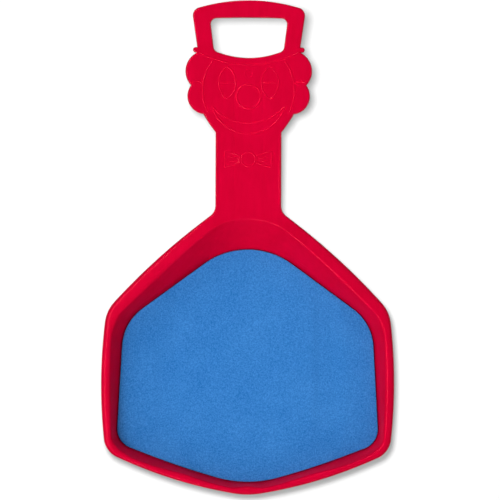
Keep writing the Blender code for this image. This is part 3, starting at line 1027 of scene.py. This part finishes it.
brim = [Vector((x, BRIM_LOW + BRIM_CURVE * x * x)) for x in np.linspace(-BRIM_END, BRIM_END, 110)]
beads.append(add_bead("brim_bead", brim))
face = [FACE + Vector((FACE_HALF.x * cos(a), FACE_HALF.y * sin(a)))
        for a in np.linspace(FACE_FROM, FACE_TO, 70)]
add_pair("face_bead", [p for p in face if p.y < BRIM_LOW + BRIM_CURVE * p.x * p.x])
add_pair("ear_bead", arc(*EAR))
print("beads of the brim and the face:", len(beads))

# %% Eyes and smile
EYE = Vector((0.0242, 0.1866))
EYE_HALF = Vector((0.0097, 0.0186))
BAR_HALF = 0.0105
SMILE_LEFT, SMILE_RIGHT = (-0.0415, 0.1605), (0.0415, 0.1605)
UPPER_LIP, LOWER_LIP = 0.0195, 0.0315

low, high = (EYE.x, EYE.y - EYE_HALF.y), (EYE.x, EYE.y + EYE_HALF.y)
eye = eased(arc(low, high, EYE_HALF.x)[:-1] + arc(high, low, EYE_HALF.x)[:-1])
bar = np.linspace(EYE.x - BAR_HALF, EYE.x + BAR_HALF, 22)
add_pair("eye_bead", eye, closed=True)
add_pair("eye_bar", [Vector((x, EYE.y)) for x in bar])
smile = eased(arc(SMILE_RIGHT, SMILE_LEFT, UPPER_LIP)[:-1]
              + arc(SMILE_LEFT, SMILE_RIGHT, -LOWER_LIP)[:-1])
beads.append(add_bead("smile_bead", smile, closed=True))
print("with the eyes and the smile:", len(beads))

# %% The bow tie
KNOT = Vector((0.0, 0.1000))
WING = ((0.0095, 0.1040), (0.0265, 0.1095), (0.0265, 0.0905), (0.0095, 0.0960))
WING_FILLET = 0.0012
FOLD_START, FOLD_END = 0.0110, 0.0235
FOLD_GAP, FOLD_SPREAD = 0.0010, 0.16

add_pair("wing_bead", rounded([corner(x, y, WING_FILLET, 4) for x, y in WING]), closed=True)
for side in (-1, 1):
    add_pair("fold_bead", [
        Vector((x, KNOT.y + side * (FOLD_GAP + FOLD_SPREAD * (x - FOLD_START))))
        for x in np.linspace(FOLD_START, FOLD_END, 14)])
print("with the bow tie:", len(beads))

# %% [markdown]
# The nose, the tie's knot and the small ring that the mould's inlet leaves are
# round, so each is a section spun about its own middle.

# %% Nose, knot and gate ring
SPIN_STEPS = 72
SECTION_STEPS = 30
TOE = 0.00004


def add_button(name, place, radius, ring, dome):
    """A dome inside a soft ring, each with its height, spun from its section."""
    edge = radius + BEAD_HALF
    across = [edge * step / SECTION_STEPS for step in range(SECTION_STEPS + 1)]
    section = [(r, bell(r - radius, BEAD_HALF, ring)
                + dome * max(0.0, 1 - (r / radius) ** 2) - TOE) for r in across]
    section += [(edge, -BEAD_SINK), (0.0, -BEAD_SINK)]
    button = add_loop(name, [Vector((r, 0.0, z)) for r, z in section])
    edit(button)
    bpy.ops.mesh.select_all(action="SELECT")
    bpy.ops.mesh.spin(steps=SPIN_STEPS, angle=2 * pi, center=(0, 0, 0), axis=(0, 0, 1))
    bpy.ops.mesh.select_all(action="SELECT")
    bpy.ops.mesh.remove_doubles(threshold=1e-6)
    bpy.ops.mesh.dissolve_degenerate(threshold=1e-7)
    bpy.ops.mesh.select_all(action="SELECT")
    bpy.ops.mesh.normals_make_consistent(inside=False)
    only(button)
    for v in button.data.vertices:
        v.co.xy += place
    return button


beads.append(add_button("nose", Vector((0.0, 0.1710)), 0.0136, 0.0007, 0.0007))
beads.append(add_button("knot", KNOT, 0.0080, 0.0006, 0.0007))
beads.append(add_button("gate_ring", Vector((0.0, 0.1968)), 0.0045, 0.0002, 0.0))
for bead in beads:
    settle(bead)
shell = joined(shell, *beads)
bpy.data.objects.remove(bead_section)
print("shell faces with ribs and beads", len(shell.data.polygons))

# %% [markdown]
# ## The foam pad
# The seat is a sheet of closed-cell foam, cut out by a die and glued down. Its
# top edge is a little round where the die pressed it, and the sheet sinks
# softly over the two runner channels. It is stiff enough to lie flat without a
# cloth simulation. The flat cut is filled, cut into a grid, given its gentle
# dips, and its edge is extruded down.

# %% The pad's surface
PAD_TOP = 0.0131
PAD_DIP, DIP_RUN = 0.0014, 0.0140
CREASE_X, CREASE_HALF = -0.0066, 0.0030
CREASE_DEPTH = 0.0004
CREASE_Y, CREASE_RUN = -0.040, 0.03
WAVE = 0.00015


def pad_heights(points):
    """Top of the pad: dips over the runners, a faint crease in front, a slight wave."""
    mouth = runner_outline(0.0)
    folded = [Vector((abs(p.x), p.y)) for p in points]
    _, _, off = nearest_on(mouth, folded)
    front, back = max(p.y for p in mouth), min(p.y for p in mouth)
    heights = []
    for p, q, distance in zip(points, folded, off):
        inside = abs(q.x - RUNNER_X) < RUNNER_WIDTH / 2 and back < q.y < front
        share = min(1.0, distance / DIP_RUN) if inside else 0.0
        dip = PAD_DIP * (1 - cos(pi * share)) / 2
        crease = CREASE_DEPTH * exp(-((p.x - CREASE_X) / CREASE_HALF) ** 2)
        crease *= covered(p.y - CREASE_Y, CREASE_RUN)
        wave = WAVE * (sin(p.x * 52 + 1.3) * sin(p.y * 41 + 0.4) - 1)
        heights.append(PAD_TOP - dip + wave - crease)
    return heights


tail_height = pad_heights([Vector((0.0, -0.2))])[0]
print("the pad's top is", round(1000 * tail_height, 2), "mm up near the tail")

# %% The pad
PAD_THICKNESS = 0.0060
PAD_MARGIN = 0.0008
PAD_EDGE = 0.0010
PAD_EDGE_STEPS = 4
PAD_SIDE_STEPS = (0.35, 0.7, 1.0)
PAD_GRID = 0.005
PAD_COLUMNS = np.arange(-0.1475, 0.15, PAD_GRID)
PAD_ROWS = np.arange(-0.2675, 0.015, PAD_GRID)

cut = inset(foot, PAD_MARGIN)
pad_rings = []
for step in range(PAD_EDGE_STEPS + 1):
    angle = pi / 2 * step / PAD_EDGE_STEPS
    places = inset(cut, PAD_EDGE * (1 - sin(angle)))
    drop = PAD_EDGE * (1 - cos(angle))
    pad_rings.append([Vector((p.x, p.y, z - drop)) for p, z in zip(places, pad_heights(places))])
edge_heights = [p.z for p in pad_rings[-1]]
for share in PAD_SIDE_STEPS:
    pad_rings.append([Vector((p.x, p.y, z - (z - PAD_TOP + PAD_THICKNESS - PAD_EDGE) * share))
                      for p, z in zip(cut, edge_heights)])

pad = add_loop("foam_seat_pad", [p.xy for p in pad_rings[0]])
cuts = (((1, 0, 0), PAD_COLUMNS), ((0, 1, 0), PAD_ROWS))
print("pad's top faces", fill_sheet(pad, cuts, pad_heights))
print("pad edges", grow(pad, pad_rings))
bpy.ops.mesh.fill(use_beauty=True)
bpy.ops.mesh.select_all(action="SELECT")
bpy.ops.mesh.normals_make_consistent(inside=False)
only(pad)
print("pad faces", len(pad.data.polygons))

# %% [markdown]
# ## Red plastic
# The shell is injection-moulded polyethylene, coloured right through. It shows
# the eye a deep, saturated red with a soft gloss. Where the melt flowed it is a
# touch darker or duller, in wide swirls and in fine streaks along the stem. A
# painted image would need the mesh unwrapped and would blur close up, so noise
# nodes draw it from the place on the object instead.

# %% The red: swirls and streaks
MM = 0.001
DARK_RED, LIGHT_RED = "#CF022E", "#DD0236"
STREAK_SHARE = 0.4

red, tree, shader = new_material("red moulded polyethylene")
place = add_node(tree, "TexCoord")
spot = {"Vector": place.outputs["Object"]}
flow = add_node(tree, "TexNoise", {"Scale": 1 / (45 * MM), "Detail": 3.0, "Distortion": 0.8}, spot)
drawn = add_node(tree, "Mapping", {"Scale": (1.0, 0.12, 1.0)}, spot)
streaks = add_node(tree, "TexNoise", {"Scale": 1 / (5 * MM), "Detail": 3.0, "Distortion": 0.6},
                   {"Vector": drawn})
swirl = add_node(tree, "Mix", {"Factor": STREAK_SHARE}, {2: flow, 3: streaks})
shade = add_node(tree, "MapRange", {"From Min": 0.3, "From Max": 0.7}, {"Value": swirl})
tone = add_node(tree, "Mix", {6: linear(DARK_RED), 7: linear(LIGHT_RED)},
                {"Factor": shade}, data_type="RGBA")
gloss = add_node(tree, "MapRange", {
    "From Min": 0.3, "From Max": 0.7, "To Min": 0.28, "To Max": 0.36}, {"Value": swirl})
print("red from", DARK_RED, "to", LIGHT_RED)

# %% [markdown]
# The skin has a very fine orange peel. Shallow sink marks run on the stem above
# the two ribs, where the thicker plastic shrank, and two weld lines cross the
# grip bar, where the melt met itself behind the opening. Such a mark is a narrow
# stripe at a distance from a line, found by folding X over with its absolute
# value. A bump presses it in, because it is too shallow to model.

# %% The red: sink marks, weld lines and peel
SINK_MARKS = ((0.0, STEM_RIB_X), 1.6 * MM, 0.060, 0.075)
WELD_LINES = ((0.7 * MM, 2.1 * MM), 1.1 * MM, 0.258, 0.264)
MARK_DEPTH = 0.09 * MM

split = add_node(tree, "SeparateXYZ", links={0: place.outputs["Object"]})
marks = []
for folds, half_width, start, full in (SINK_MARKS, WELD_LINES):
    away = split.outputs["X"]
    for fold in folds:
        away = add_node(tree, "Math", {1: fold}, {0: away}, operation="SUBTRACT")
        away = add_node(tree, "Math", links={0: away}, operation="ABSOLUTE")
    stripe = add_node(tree, "MapRange", {"From Max": half_width, "To Min": 1.0, "To Max": 0.0},
                      {"Value": away}, interpolation_type="SMOOTHSTEP")
    along = add_node(tree, "MapRange", {"From Min": start, "From Max": full},
                     {"Value": split.outputs["Y"]})
    marks.append(add_node(tree, "Math", links={0: stripe, 1: along}, operation="MULTIPLY"))
dents = add_node(tree, "Math", links=dict(enumerate(marks)), operation="ADD")
pressed = add_node(tree, "Bump", {"Strength": 1.0, "Distance": MARK_DEPTH},
                   {"Height": dents}, invert=True)
peel = add_node(tree, "TexNoise", {"Scale": 1 / (1.2 * MM), "Detail": 2.0}, spot)
skin = add_node(tree, "Bump", {"Strength": 0.25, "Distance": 0.03 * MM},
                {"Height": peel, "Normal": pressed})
print("sink marks and weld lines are", round(MARK_DEPTH / MM, 2), "mm deep")

# %% [markdown]
# A mould's steep sides are left less polished, because the piece slides out
# along them. So the wall shows the eye more of its own red and fewer
# reflections than the flange and the head, which look up.

# %% The red: polish by slope
STEEP_POLISH, FLAT_POLISH = 0.006, 0.05

facing = add_node(tree, "SeparateXYZ", links={0: place.outputs["Normal"]})
polish = add_node(tree, "MapRange", {
    "From Min": 0.74, "From Max": 0.89, "To Min": STEEP_POLISH, "To Max": FLAT_POLISH},
    {"Value": facing.outputs["Z"]})
fill_in(tree, shader, {"IOR": 1.5}, {
    "Base Color": tone.outputs[2], "Roughness": gloss,
    "Specular IOR Level": polish, "Normal": skin})
print("red plastic:", len(tree.nodes), "nodes")

# %% [markdown]
# ## Blue foam
# Closed-cell polyethylene foam has a dry, velvety skin with almost no gloss.
# Close up it is pebbled by cells about a millimetre wide, and its colour
# wanders a little from patch to patch. There are tens of thousands of cells, too
# many to model, so cell and noise textures of their size draw them.

# %% The blue foam
DARK_BLUE, LIGHT_BLUE = "#1A66B0", "#468ED7"
PATCH_SHARE = 0.16

blue, tree, shader = new_material("blue closed-cell foam")
spot = {"Vector": add_node(tree, "TexCoord").outputs["Object"]}
cells = add_node(tree, "TexVoronoi", {"Scale": 1 / (1.3 * MM), "Smoothness": 0.6},
                 spot, feature="SMOOTH_F1")
grain = add_node(tree, "TexNoise", {"Scale": 1 / (1.5 * MM), "Detail": 3.0, "Roughness": 0.7},
                 spot)
patches = add_node(tree, "TexNoise", {"Scale": 1 / (30 * MM), "Detail": 2.0}, spot)
mottle = add_node(tree, "Mix", {"Factor": PATCH_SHARE}, {2: grain, 3: patches})
tone = add_node(tree, "MapRange", {"From Min": 0.32, "From Max": 0.68}, {"Value": mottle})
colour = add_node(tree, "Mix", {6: linear(DARK_BLUE), 7: linear(LIGHT_BLUE)},
                  {"Factor": tone}, data_type="RGBA")
pebble = add_node(tree, "Bump", {"Strength": 0.35, "Distance": 0.15 * MM},
                  {"Height": cells}, invert=True)
fuzz = add_node(tree, "Bump", {"Strength": 0.3, "Distance": 0.12 * MM},
                {"Height": grain, "Normal": pebble})
fill_in(tree, shader, {
    "Roughness": 0.85, "IOR": 1.4, "Specular IOR Level": 0.25, "Sheen Weight": 0.05},
    {"Base Color": colour.outputs[2], "Normal": fuzz})
print("foam from", DARK_BLUE, "to", LIGHT_BLUE)

# %% [markdown]
# ## Adhesive film
# The film under the pad is acrylic glue. To the eye it is a cloudy off-white
# line, a hair wide, at the pad's edge, so it keeps its CAD shape.

# %% The adhesive film
glue, tree, shader = new_material("cloudy acrylic adhesive")
spot = {"Vector": add_node(tree, "TexCoord").outputs["Object"]}
cloud = add_node(tree, "TexNoise", {"Scale": 1 / (8 * MM), "Detail": 3.0}, spot)
tone = add_node(tree, "Mix", {6: linear("#D8D2C2"), 7: linear("#E6E2D4")},
                {"Factor": cloud}, data_type="RGBA")
dull = add_node(tree, "MapRange", {"To Min": 0.4, "To Max": 0.6}, {"Value": cloud})
fill_in(tree, shader, links={"Base Color": tone.outputs[2], "Roughness": dull})
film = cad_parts["pad_adhesive"]
for slot in film.material_slots:
    slot.material = glue
print("film slots", len(film.material_slots))

# %% [markdown]
# ## Dressing
# Nothing on the slider moves, so both new pieces ride on its one body. Each
# stands for its CAD node, which stays hidden for collision, and its faces are
# shaded smooth except where they meet at a sharp edge.

# %% Dress the pieces and put them on the body
SHARPEST_SMOOTH = radians(35)

for piece, material, slot, node in ((shell, red, "red_plastic", "moulded_shell"),
                                    (pad, blue, "blue_foam", "seat_pad")):
    piece.data.materials.clear()
    piece.data.materials.append(material)
    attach(piece, "root")
    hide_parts(node)
    only(piece)
    bpy.ops.object.shade_smooth_by_angle(angle=SHARPEST_SMOOTH)
only()
print("dressed:", shell.name, pad.name)
